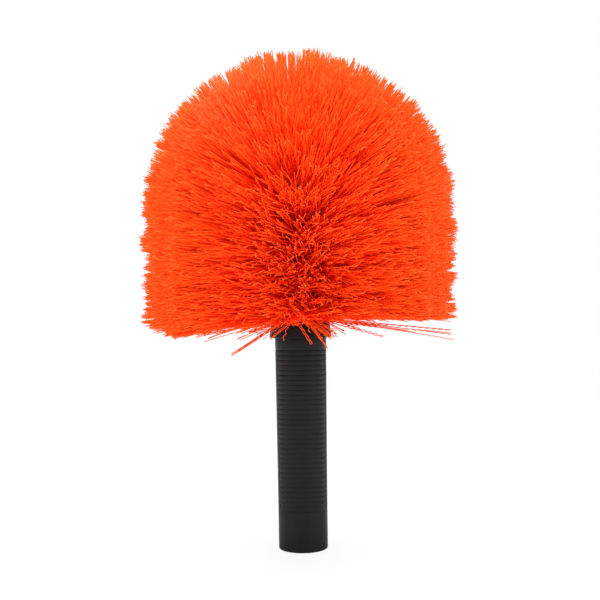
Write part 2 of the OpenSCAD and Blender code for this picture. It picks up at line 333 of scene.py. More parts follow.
def link(name: str, shape: bmesh.types.BMesh) -> bpy.types.Object:
    """Turns a bmesh into an object of the scene, at the origin.

    Args:
        name: the piece's name.
        shape: the bmesh, which is freed.

    Returns:
        The new object.
    """
    mesh = bpy.data.meshes.new(name)
    shape.to_mesh(mesh)
    shape.free()
    made = bpy.data.objects.new(name, mesh)
    bpy.context.scene.collection.objects.link(made)
    return made


def apply_modifiers(piece: bpy.types.Object) -> None:
    """Replaces a piece's mesh by its shape with all modifiers applied."""
    bpy.context.view_layer.update()
    result = piece.evaluated_get(bpy.context.evaluated_depsgraph_get())
    mesh = bpy.data.meshes.new_from_object(result)
    mesh.name = piece.name
    piece.modifiers.clear()
    piece.data = mesh


def dress(piece: bpy.types.Object, material: bpy.types.Material) -> None:
    """Gives every material slot of a piece one finish."""
    if not piece.material_slots:
        piece.data.materials.append(material)
    for slot in piece.material_slots:
        slot.material = material


def seat(piece: bpy.types.Object, nodes: Sequence[str]) -> None:
    """Fixes a new piece to the brush.

    Args:
        piece: the finished piece.
        nodes: the CAD nodes that it stands for.
    """
    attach(piece, BODY)
    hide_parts(*nodes)
    log.info("%s: %d faces, for %s", piece.name, len(piece.data.polygons), ", ".join(nodes))


# The brush's layout, shared by its block and its bristle


@dataclass(frozen=True)
class Layout:
    """Where each tuft stands on the block and where its tips are trimmed, in millimetres."""

    block_z: float = 145.0
    block_len: float = 71.0
    block_r: float = 14.0
    head_r: float = 99.5
    head_h: float = 170.5
    underside_rise: float = 0.5
    ring_rows: int = 10
    tufts_per_row: int = 6
    dome_angles: tuple[float, ...] = (16.0, 47.0, 90.0)
    dome_tufts: tuple[int, ...] = (6, 5, 1)
    fan_power: float = 5.0

    @property
    def rows(self) -> int:
        """Number of rows of tufts."""
        return self.ring_rows + len(self.dome_angles)

    @property
    def head_side(self) -> float:
        """Height of the trimmed side, below its dome."""
        return self.head_h - self.head_r

    def tufts(self, row: int) -> int:
        """Number of tufts in a row."""
        return (self.ring_rows * (self.tufts_per_row,) + self.dome_tufts)[row]

    def sector(self, row: int) -> float:
        """Angle between the tufts of a row, in radians."""
        return math.tau / self.tufts(row)

    def turn(self, row: int, k: int) -> float:
        """Azimuth of a tuft in radians: every other row is staggered."""
        return (k + (row % 2) / 2) * math.tau / self.tufts(row)

    def up(self, row: int) -> float:
        """Distance of a row up the block's outline."""
        if row < self.ring_rows:
            return (row + 0.5) * self.block_len / self.ring_rows
        return self.block_len + self.block_r * math.radians(self.dome_angles[row - self.ring_rows])

    def aim(self, row: int) -> float:
        """Distance up the trimmed outline that a row's tufts point at."""
        up = self.up(row)
        block = self.block_len + self.block_r * math.pi / 2
        head = self.head_side + self.head_r * math.pi / 2
        return up + (head - block) * (up / block) ** self.fan_power

    def trimmed(self, up: float) -> Span:
        """Radius and height of a point on the trimmed outline."""
        return self.outline(up, self.head_side, self.head_r)

    def outline(self, up: float, side: float, radius: float) -> Span:
        """Radius and height of a point on a domed outline.

        Args:
            up: distance along the outline from the collar.
            side: height of its straight side.
            radius: radius of its side and dome.

        Returns:
            Distance from the axis and height above the collar.
        """
        if up < side:
            return radius, up
        angle = (up - side) / radius
        return radius * math.cos(angle), side + radius * math.sin(angle)

    def zone(self, row: int) -> Span:
        """Heights above the collar between which a row's tips are trimmed."""
        low = self.underside_rise if row == 0 else (self.aim(row - 1) + self.aim(row)) / 2
        high = self.head_side + self.head_r * math.pi / 2 if row == self.rows - 1 else (
            self.aim(row) + self.aim(row + 1)) / 2
        return self.trimmed(low)[1], self.trimmed(high)[1]

    def area(self, row: int) -> float:
        """Trimmed area that one tuft of a row covers, the same on a cylinder and on its dome."""
        low, high = self.zone(row)
        return math.tau * self.head_r * (high - low) / self.tufts(row)

    def place(self, point: Span, turn: float) -> np.ndarray:
        """A point of an outline turned to its azimuth."""
        return np.array([point[0] * math.cos(turn), point[0] * math.sin(turn),
                         self.block_z + point[1]])

    def mouth(self, row: int, k: int) -> np.ndarray:
        """Middle of a tuft hole's mouth on the block."""
        point = self.outline(self.up(row), self.block_len, self.block_r)
        return self.place(point, self.turn(row, k))

    def axis(self, row: int, k: int) -> np.ndarray:
        """Direction in which a tuft hole is drilled, pointing out."""
        way = self.place(self.trimmed(self.aim(row)), self.turn(row, k)) - self.mouth(row, k)
        return way / np.linalg.norm(way)


# Sub-assemblies


@dataclass(frozen=True)
class SocketHandle:
    """The ribbed handle, with a pole socket below and the block's socket above."""

    length: float = 134.5
    mouth_r: float = 15.6
    top_r: float = 16.35
    mouth_round: float = 0.9
    top_round: float = 0.4
    plain_low: float = 25.3
    plain_high: float = 7.5
    plain_ease: float = 0.5
    ribs: int = 33
    rib_depth: float = 0.32
    rib_proud: float = 0.1
    rib_fill: float = 2.6
    rib_flats: int = 8
    strip_half: float = 6.3
    seam: float = 0.9
    seam_depth: float = 0.4
    bore_r: float = 12.7
    wall_least: float = 1.0
    pole_depth: float = 96.0
    lead_in: float = 0.5
    recess_r: float = 6.15
    recess_top: float = 100.4
    screw_hole_r: float = 2.25
    spigot_floor: float = 109.0
    spigot_r: float = 11.1
    finish: MouldedPlastic = MouldedPlastic("handle_plastic")

    def wall(self, height: float) -> float:
        """Outside radius of the plain wall, with its moulding draft."""
        return self.mouth_r + (self.top_r - self.mouth_r) * height / self.length

    def ribs_outline(self) -> Outline:
        """Outline of all grip ribs: broad round crests with narrow grooves between them."""
        step = (self.length - self.plain_low - self.plain_high) / self.ribs
        points = []
        for k in range(self.ribs * self.rib_flats + 1):
            share = k / self.rib_flats % 1.0
            height = self.plain_low + k / self.rib_flats * step
            groove = self.rib_depth * abs(2 * share - 1) ** self.rib_fill
            points.append((self.wall(height) + self.rib_proud - groove, height))
        return points

    def build(self) -> None:
        """Turns the handle and seats it in place of its CAD node."""
        ease = self.plain_ease
        bores = ((self.spigot_r, self.length, self.spigot_floor),
                 (self.screw_hole_r, self.spigot_floor, self.recess_top),
                 (self.recess_r, self.recess_top, self.pole_depth),
                 (self.bore_r, self.pole_depth, self.lead_in))
        outline = (
            arc((self.mouth_r - self.mouth_round, self.mouth_round), self.mouth_round, -90, 0)
            + [(self.wall(self.plain_low - ease), self.plain_low - ease)]
            + self.ribs_outline()
            + [(self.wall(self.length), self.length - self.plain_high + ease)]
            + arc((self.top_r - self.top_round, self.length - self.top_round), self.top_round,
                  0, 90, 4)
            + [(radius, end) for radius, *ends in bores for end in ends]
            + [(self.bore_r + self.lead_in, 0.0)])
        piece = lathe("socket_handle_moulding", outline, closed=True)
        self.part_ribs(piece)
        dress(piece, self.finish.material())
        seat(piece, ["socket_handle"])

    def part_ribs(self, piece: bpy.types.Object) -> None:
        """Ends the ribs in a shallow seam at each side, with a plain strip between the two seams.

        Args:
            piece: the turned handle.
        """
        outside, parted = self.bore_r + self.wall_least, self.strip_half + self.seam
        for vertex in piece.data.vertices:
            x, y, z = (c / MM for c in vertex.co)
            ribbed = self.plain_low < z < self.length - self.plain_high
            if ribbed and math.hypot(x, y) > outside and abs(y) < parted:
                sunk = self.seam_depth if abs(y) > self.strip_half else 0.0
                vertex.co = Vector((x, y, 0.0)).normalized() * (self.wall(z) - sunk) * MM
                vertex.co.z = z * MM


@dataclass(frozen=True)
class DrilledBlock:
    """Collar, spigot and domed block, drilled with a hole for each tuft."""

    layout: Layout
    collar_z: float = 134.5
    collar_low_r: float = 19.85
    collar_top_r: float = 18.75
    collar_round: float = 0.8
    collar_top_round: float = 1.6
    spigot_r: float = 11.0
    spigot_z: float = 109.5
    pilot_r: float = 2.25
    pilot_z: float = 132.4
    hole_r: float = 2.6
    hole_depth: float = 3.2
    hole_facets: int = 20
    finish: MouldedPlastic = MouldedPlastic("block_plastic", colour=(0.0055, 0.0053, 0.0056, 1.0),
                                            roughness=0.42)

    def build(self) -> None:
        """Turns the block, drills it and seats it in place of its CAD node."""
        plan = self.layout
        outline = (
            [(0.0, self.pilot_z), (self.pilot_r, self.pilot_z), (self.pilot_r, self.spigot_z),
             (self.spigot_r, self.spigot_z), (self.spigot_r, self.collar_z)]
            + arc((self.collar_low_r - self.collar_round, self.collar_z + self.collar_round),
                  self.collar_round, -90, 0)
            + arc((self.collar_top_r - self.collar_top_round,
                   plan.block_z - self.collar_top_round), self.collar_top_round, 0, 90)
            + [(plan.block_r, plan.block_z)]
            + arc((0.0, plan.block_z + plan.block_len), plan.block_r, 0, 90, 16))
        piece = lathe("drilled_block", outline, closed=False)
        drill = self.drill_bits()
        cut = piece.modifiers.new("tuft_holes", "BOOLEAN")
        cut.object, cut.operation, cut.solver = drill, "DIFFERENCE", "EXACT"
        apply_modifiers(piece)
        bpy.data.objects.remove(drill)
        dress(piece, self.finish.material())
        seat(piece, ["brush_block"])

    def drill_bits(self) -> bpy.types.Object:
        """One short cylinder for each tuft hole, in one object."""
        bits = bmesh.new()
        for row in range(self.layout.rows):
            for k in range(self.layout.tufts(row)):
                way = Vector(self.layout.axis(row, k))
                turn = way.to_track_quat("Z", "Y").to_matrix().to_4x4()
                centre = Matrix.Translation(Vector(self.layout.mouth(row, k)) * MM)
                bmesh.ops.create_cone(bits, cap_ends=True, segments=self.hole_facets,
                                      radius1=self.hole_r * MM, radius2=self.hole_r * MM,
                                      depth=self.hole_depth * 2 * MM, matrix=centre @ turn)
        return link("drill_bits", bits)


@dataclass(frozen=True)
class Fastenings:
    """Screw, washer and wire anchors, which are kept as the CAD has them and get their finish."""

    steel: PlatedSteel = PlatedSteel("zinc_plated_steel")
    wire: PlatedSteel = PlatedSteel("galvanised_wire", colour=(0.55, 0.55, 0.57, 1.0),
                                    dull=(0.36, 0.36, 0.38, 1.0), roughness=0.38)

    def build(self) -> None:
        """Dresses the CAD nodes."""
        steel, wire = self.steel.material(), self.wire.material()
        for node, material in (("fixing_screw", steel), ("screw_washer", steel),
                               ("tuft_anchors", wire)):
            dress(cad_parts[node], material)
            log.info("%s: kept from the CAD, dressed with %s", node, material.name)


class Strands:
    """Many closed three-sided filaments in one mesh, each following its own line.

    Their shading leans to their tips by TILT, and FILL is how far each spreads in its column
    of the chart for baking.
    """

    SIDES = 3
    TILT = 1.0
    FILL = 0.3
    APART = (4.0, 0.0, 0.0)

    def __init__(self, name: str, count: int, rings: int) -> None:
        """Repeats one straight filament as often as needed.

        Args:
            name: the piece's name.
            count: number of filaments.
            rings: points along each one.
        """
        self.count, self.rings = count, rings
        single = bmesh.new()
        bmesh.ops.create_cone(single, cap_ends=True, segments=self.SIDES, radius1=1.0,
                              radius2=1.0, depth=float(rings - 1))
        sides = [e for e in single.edges if e.verts[0].co.z != e.verts[1].co.z]
        bmesh.ops.subdivide_edges(single, edges=sides, cuts=rings - 2)
        bmesh.ops.translate(single, verts=single.verts, vec=(0.0, 0.0, (rings - 1) / 2))
        for face in single.faces:
            face.smooth = True
        places = np.array([v.co for v in single.verts])
        self.ring = np.rint(places[:, 2]).astype(int)
        self.corner = np.rint(np.arctan2(places[:, 1], places[:, 0]) / math.tau * self.SIDES)
        self.piece = link(name, single)
        repeat = self.piece.modifiers.new("repeat", "ARRAY")
        repeat.count, repeat.use_relative_offset = count, False
        repeat.use_constant_offset, repeat.constant_offset_displace = True, self.APART
        apply_modifiers(self.piece)

    def lay(self, lines: np.ndarray, radius: np.ndarray) -> None:
        """Moves every filament on to its line.

        Args:
            lines: middle points in millimetres, as filament, ring, coordinate.
            radius: size of each filament from its middle to a corner.
        """
        way = lines[:, -1] - lines[:, 0]
        way /= np.linalg.norm(way, axis=1, keepdims=True)
        beside, across = square_to(way)
        angle = self.corner * math.tau / self.SIDES
        spoke = (np.cos(angle)[None, :, None] * beside[:, None]
                 + np.sin(angle)[None, :, None] * across[:, None])
        points = lines[:, self.ring] + radius[:, None, None] * spoke
        self.piece.data.vertices.foreach_set("co", (points * MM).astype(np.float32).ravel())
        self.piece.data.update()
        facing = (spoke + self.TILT * way[:, None]).reshape(-1, 3)
        facing /= np.linalg.norm(facing, axis=1, keepdims=True)
        self.piece.data.normals_split_custom_set_from_vertices(facing)

    def mark(self, along: np.ndarray, tone: np.ndarray) -> None:
        """Stores what the finish reads, and a layout of the strands side by side for baking.

        Args:
            along: share of the length at each ring, from root to tip.
            tone: one random number for each filament.
        """
        mesh = self.piece.data
        share = np.tile(along[self.ring], self.count)
        for name, values in (("along", share), ("tone", np.repeat(tone, len(self.ring)))):
            store = mesh.attributes.new(name, "FLOAT", "POINT")
            store.data.foreach_set("value", values.astype(np.float32))
        corner = np.empty(len(mesh.loops), np.int32)
        mesh.loops.foreach_get("vertex_index", corner)
        strand = corner // len(self.ring)
        across = (strand + 0.5 + self.FILL * self.corner[corner % len(self.ring)]) / self.count
        places = np.stack([across, share[corner]], 1)
        chart = mesh.uv_layers.new(name="OFBake")
        chart.data.foreach_set("uv", places.astype(np.float32).ravel())


def square_to(way: np.ndarray) -> Arrays:
    """Two unit vectors square to each direction and to each other.

    Args:
        way: unit directions, one in each line.

    Returns:
        The two sets, which make a right-handed frame with way.
    """
    flat = np.where(np.abs(way[:, 2:3]) < 0.9, [[0.0, 0.0, 1.0]], [[1.0, 0.0, 0.0]])
    beside = np.cross(way, flat)
    beside /= np.linalg.norm(beside, axis=1, keepdims=True)
    return beside, np.cross(way, beside)


@dataclass(frozen=True)
class Filament:
    """One kind of filament in the head.

    Its tip stands at tip_shade on the finish's ramp of painted shade and light from root to cut
    end, its length is a share of the way to the trimmed surface, and loose is the share that keeps
    out of the clumps. Its rings are few in the gathered root, up to the share KNEE or CRIMP_KNEE,
    and then even.
    """

    KNEE = (0.12,)
    CRIMP_KNEE = (0.12, 0.45, 0.62)

    name: str
    count: int
    rings: int
    radius: float
    crimp: float = 0.0
    reach: Span = (1.0, 1.0)
    tip_shade: float = 1.0
    loose: float = 0.25

    def along(self) -> np.ndarray:
        """Share of the length at each ring."""
        *root, start = self.CRIMP_KNEE if self.crimp else self.KNEE
        return np.concatenate([[0.0, *root], np.linspace(start, 1.0, self.rings - len(root) - 1)])


@dataclass(frozen=True)
class BristleHead:
    """All tufts of crimped filament, trimmed to a cylinder with a dome."""

    layout: Layout
    kinds: tuple[Filament, ...] = (
        Filament("fine", count=32000, rings=4, radius=0.25, tip_shade=0.97),
        Filament("crimped", count=7000, rings=18, radius=0.27, crimp=0.56, loose=1.0),
        Filament("short", count=15000, rings=4, radius=0.5, reach=(0.4, 0.94), tip_shade=0.9,
                 loose=1.0))
    seed: int = 700
    crowding: float = 0.68
    # Clumps of tips
    clump: int = 9
    least_clumps: int = 4
    least_middle: float = 0.3
    clump_tone: float = 0.6
    clump_spread: float = 1.8
    row_spread: float = 10.0
    overlap: float = 0.16
    # Roots in their hole, and the lines from there
    hole_fill: float = 2.15
    hole_order: float = 0.8
    hole_scatter: float = 0.22
    hole_percent: int = 96
    root_depth: float = 2.6
    bend_share: float = 0.2
    wander: float = 0.8
    clump_wander: float = 0.7
    crimp_turn: float = 0.5
    crimp_from: Span = (0.05, 0.25)
    crimp_range: Span = (0.55, 1.35)
    # Trim
    clump_uneven: float = 5.0
    uneven: float = 1.5
    uneven_range: Span = (-0.3, 1.0)
    short_share: float = 0.12
    short_cut: float = 16.0
    crown_gap: float = 0.2
    least_reach: float = 0.5
    scatter_reach: float = 8.0
    # Drooping locks
    slack: float = 0.4
    droop: float = 9.0
    droop_turn: float = 229.0
    droop_power: float = 8.0
    droop_range: Span = (0.7, 1.0)
    droop_height: float = 24.0
    # Lobes of the outline
    lobe_seed: int = 55
    lobe_count: int = 199
    lobe_power: float = 0.6
    lobe_size: Span = (3.0, 14.0)
    lobe_slit: Span = (0.2, 4.6)
    lobe_slit_most: float = 0.5
    lobe_cut: Span = (-0.9, 2.2)
    lobe_depth: float = 40.0
    lobe_bend: int = 4
    # Parting up the front
    parting_turn: float = -90.0
    parting: float = 2.1
    parting_width: float = 27.0
    parting_fade: int = 6
    finish: CrimpedBristle = CrimpedBristle()

    def nodes(self) -> list[tuple[str, list[int]]]:
        """Each CAD node with the rows of tufts that it holds."""
        rings = [(f"tuft_row_{row + 1}", [row]) for row in range(self.layout.ring_rows)]
        last = self.layout.ring_rows
        return rings + [("shoulder_tufts", [last]), ("crown_tufts", [last + 1, last + 2])]

    def per_tuft(self, row: int, kind: Filament) -> int:
        """Filaments in one tuft: more where a tuft spreads over more of the head."""
        rows = range(self.layout.rows)
        weight = [self.layout.area(r) ** self.crowding for r in rows]
        whole = sum(w * self.layout.tufts(r) for r, w in zip(rows, weight))
        return round(kind.count * weight[row] / whole)

    def build(self) -> None:
        """Makes the bristle node by node, one piece for each kind of filament."""
        material = self.finish.material()
        for name, rows in self.nodes():
            for number, kind in enumerate(self.kinds):
                rng = np.random.default_rng(self.seed + 20 * number + rows[0])
                tufts = [self.tuft(row, k, kind, rng) for row in rows
                         for k in range(self.layout.tufts(row))]
                lines, tones = (np.concatenate(parts) for parts in zip(*tufts))
                strands = Strands(f"{name}_{kind.name}", len(lines), kind.rings)
                strands.lay(lines, kind.radius * rng.uniform(0.9, 1.1, len(lines)))
                # Places each ring on the finish's ramp of painted shade at the root and painted
                # light at the tip.
                strands.mark(kind.along() * kind.tip_shade, tones)
                dress(strands.piece, material)
                seat(strands.piece, [name])

    def columns(self, row: int, clumps: int) -> int:
        """Columns in the grid of a tuft's clumps, whose cells are about as wide as high."""
        plan = self.layout
        low, high = plan.zone(row)
        middle = max(plan.trimmed(plan.aim(row))[0], self.least_middle * plan.head_r)
        wide = middle * plan.sector(row)
        return max(1, round(math.sqrt(clumps * wide / max(high - low, 1.0))))

    def tips(self, row: int, k: int, kind: Filament, rng: Chance) -> Arrays:
        """Trimmed tips of one tuft, drawn together in small clumps.

        Args:
            row: the tuft's row.
            k: its number in the row.
            kind: the kind of filament.
            rng: the source of chance.

        Returns:
            The tips, and the number of the clump that each belongs to.
        """
        plan = self.layout
        count = self.per_tuft(row, kind)
        low, high = plan.zone(row)
        clumps = max(self.least_clumps, round(count / self.clump))
        columns = self.columns(row, clumps)
        lines = math.ceil(clumps / columns)
        clump = np.arange(count) % clumps
        jitter = rng.uniform(-0.5, 0.5, (clumps, 2))[clump]
        loose = rng.uniform(size=count) < kind.loose
        rise, round_ = (
            np.where(loose, rng.uniform(-self.overlap, 1 + self.overlap, count),
                     (1 + self.overlap) * share - self.overlap / 2)
            for share in ((clump // columns + 0.5 + jitter[:, 0]) / lines,
                          (clump % columns + 0.5 + jitter[:, 1]) / columns))
        scatter = rng.normal(0.0, self.clump_spread, (count, 2))
        shift = np.where(loose, rng.normal(0.0, 1.0, count), rng.normal(0.0, 1.0, clumps)[clump])
        height = low + rise * (high - low) + scatter[:, 0] + self.row_spread * shift
        height = np.abs(height - plan.underside_rise) + plan.underside_rise
        top = plan.head_h - self.crown_gap
        height = np.where(height > top, 2 * top - height, height)
        over = np.clip((height - plan.head_side) / plan.head_r, 0.0, 1.0)
        level = np.sqrt(1 - over ** 2)
        cut = self.cut(clump, rng)
        reach = np.maximum(level * (plan.head_r - cut), self.least_reach)
        turn = (plan.turn(row, k) + (round_ - 0.5) * plan.sector(row)
                + scatter[:, 1] / np.maximum(reach, self.scatter_reach))
        turn = self.part(turn, level)
        tips = np.stack([reach * np.cos(turn), reach * np.sin(turn),
                         plan.block_z + height - over * cut - self.sag(turn, height, rng)], 1)
        return tips, clump

    def cut(self, clump: np.ndarray, rng: Chance) -> np.ndarray:
        """How much shorter than the trimmed surface each filament ends, some of them by far."""
        count = len(clump)
        return (rng.uniform(*self.uneven_range, clump.max() + 1)[clump] * self.clump_uneven
                + rng.uniform(*self.uneven_range, count) * self.uneven
                + (rng.uniform(size=count) < self.short_share)
                * rng.uniform(0, self.short_cut, count))

    def sag(self, turn: np.ndarray, height: np.ndarray, rng: Chance) -> np.ndarray:
        """How far each tip of the lower edge hangs, most where the locks droop."""
        lock = np.clip(np.cos(turn - math.radians(self.droop_turn)), 0, 1) ** self.droop_power
        hang = (self.slack + self.droop * lock) * rng.uniform(*self.droop_range, len(turn))
        return hang * np.clip(1 - height / self.droop_height, 0, 1)

    def lobes(self, tips: np.ndarray) -> np.ndarray:
        """Draws the tips on both sides of the head together in lobes with slits between them.

        Args:
            tips: trimmed tips.

        Returns:
            How far each tip moves.
        """
        plan = self.layout
        rng, count = np.random.default_rng(self.lobe_seed), self.lobe_count
        size = self.lobe_size[0] + rng.power(self.lobe_power, count + 1) * np.ptp(self.lobe_size)
        slit = self.lobe_slit[0] + rng.power(self.lobe_power, count) * np.ptp(self.lobe_slit)
        cut = rng.uniform(*self.lobe_cut, count)
        edges = np.cumsum(size)
        edges -= edges[(count + 1) // 2]
        side = np.where(tips[:, 0] < 0, -1.0, 1.0)
        rise = tips[:, 2] - plan.block_z - plan.head_side
        lean = np.arctan2(np.maximum(rise, 0.0), np.abs(tips[:, 0]))
        place = side * (math.pi / 2 * plan.head_r - plan.head_r * lean - np.minimum(rise, 0.0))
        lobe = np.clip(np.searchsorted(edges, place) - 1, 0, count - 1)
        middle, width = (edges[lobe] + edges[lobe + 1]) / 2, edges[lobe + 1] - edges[lobe]
        near = np.exp(-(tips[:, 1] / self.lobe_depth) ** 4)
        up = side * (place - middle) * np.minimum(slit[lobe] / width, self.lobe_slit_most) * near
        inward = cut[lobe] * near
        return np.stack([-side * (np.sin(lean) * up + np.cos(lean) * inward), np.zeros(len(tips)),
                         np.cos(lean) * up - np.sin(lean) * inward], 1)

    def part(self, turn: np.ndarray, level: np.ndarray) -> np.ndarray:
        """Thins the tips along the parting that runs up the front of the head.

        Args:
            turn: azimuths of the tips.
            level: 1 on the side of the head, less towards its crown.

        Returns:
            The azimuths, spread apart near the parting.
        """
        off = np.remainder(turn - math.radians(self.parting_turn) + math.pi, math.tau) - math.pi
        push = np.exp(-(off / math.radians(self.parting_width)) ** 2) * level ** self.parting_fade
        return turn + self.parting * off * push

    def tuft(self, row: int, k: int, kind: Filament, rng: Chance) -> Arrays:
        """Lines of all filaments of one tuft, gathered in its hole and splayed to their tips.

        Args:
            row: the tuft's row.
            k: its number in the row.
            kind: the kind of filament.
            rng: the source of chance.

        Returns:
            Middle points as filament, ring, coordinate, and the filaments' tones from 0 to 1.
        """
        plan = self.layout
        tips, clump = self.tips(row, k, kind, rng)
        count = len(tips)
        out = plan.axis(row, k)
        beside, across = (side[0] for side in square_to(out[None]))
        mouth = plan.mouth(row, k)
        spread = np.stack([(tips - mouth) @ beside, (tips - mouth) @ across], 1)
        spread /= np.percentile(np.linalg.norm(spread, axis=1), self.hole_percent)
        spread /= np.maximum(1.0, np.linalg.norm(spread, axis=1, keepdims=True))
        hold = (spread * self.hole_fill * self.hole_order
                + rng.normal(0, self.hole_scatter, (count, 2)) * self.hole_fill)
        hold *= np.minimum(1.0, self.hole_fill / np.linalg.norm(hold, axis=1))[:, None]
        root = mouth - self.root_depth * out + hold[:, :1] * beside + hold[:, 1:] * across
        tips = root + (tips - root) * rng.uniform(*kind.reach, (count, 1))
        t = kind.along()[None, :, None]
        length = np.linalg.norm(tips - root, axis=1)
        knee = root + self.bend_share * length[:, None] * out
        lines = ((1 - t) ** 2 * root[:, None] + 2 * t * (1 - t) * knee[:, None]
                 + t ** 2 * tips[:, None] + t ** self.lobe_bend * self.lobes(tips)[:, None])
        tone = (self.clump_tone * rng.uniform(size=clump.max() + 1)[clump]
                + (1 - self.clump_tone) * rng.uniform(size=count))
        return lines + self.waves(tips - root, clump, kind, rng), tone

    def waves(self, way: np.ndarray, clump: np.ndarray, kind: Filament,
              rng: Chance) -> np.ndarray:
        """The slow wander and the fine crimp of each filament, square to its direction.

        Args:
            way: vector from root to tip of each filament.
            clump: number of the clump that each belongs to.
            kind: the kind of filament.
            rng: the source of chance.

        Returns:
            Offsets as filament, ring, coordinate.
        """
        count, clumps = len(way), clump.max() + 1
        beside, across = square_to(way / np.linalg.norm(way, axis=1, keepdims=True))
        along = kind.along()
        bow = np.sin(math.pi * along)[None, None]
        slow = rng.normal(0, self.wander, (2, count, 1)) * bow
        slow = slow + rng.normal(0, self.clump_wander, (2, clumps))[:, clump, None] * bow
        plane = rng.uniform(0, math.tau, clumps)[clump] + rng.normal(0, self.crimp_turn, count)
        sign = np.where(np.arange(kind.rings) % 2 == 0, 1.0, -1.0)
        fade = np.clip((along - self.crimp_from[0]) / self.crimp_from[1], 0, 1)
        size = kind.crimp * rng.uniform(*self.crimp_range, (count, kind.rings)) * sign * fade
        side = slow[0] + size * np.cos(plane)[:, None]
        rise = slow[1] + size * np.sin(plane)[:, None]
        return side[..., None] * beside[:, None] + rise[..., None] * across[:, None]


@dataclass(frozen=True)
class StrayLock:
    """A few filaments that hang out below the head.

    They run over the collar's rim, at the azimuth in over, to their tip.
    """

    tip: Point
    over: float
    count: int
    spread: float
    crimp: float


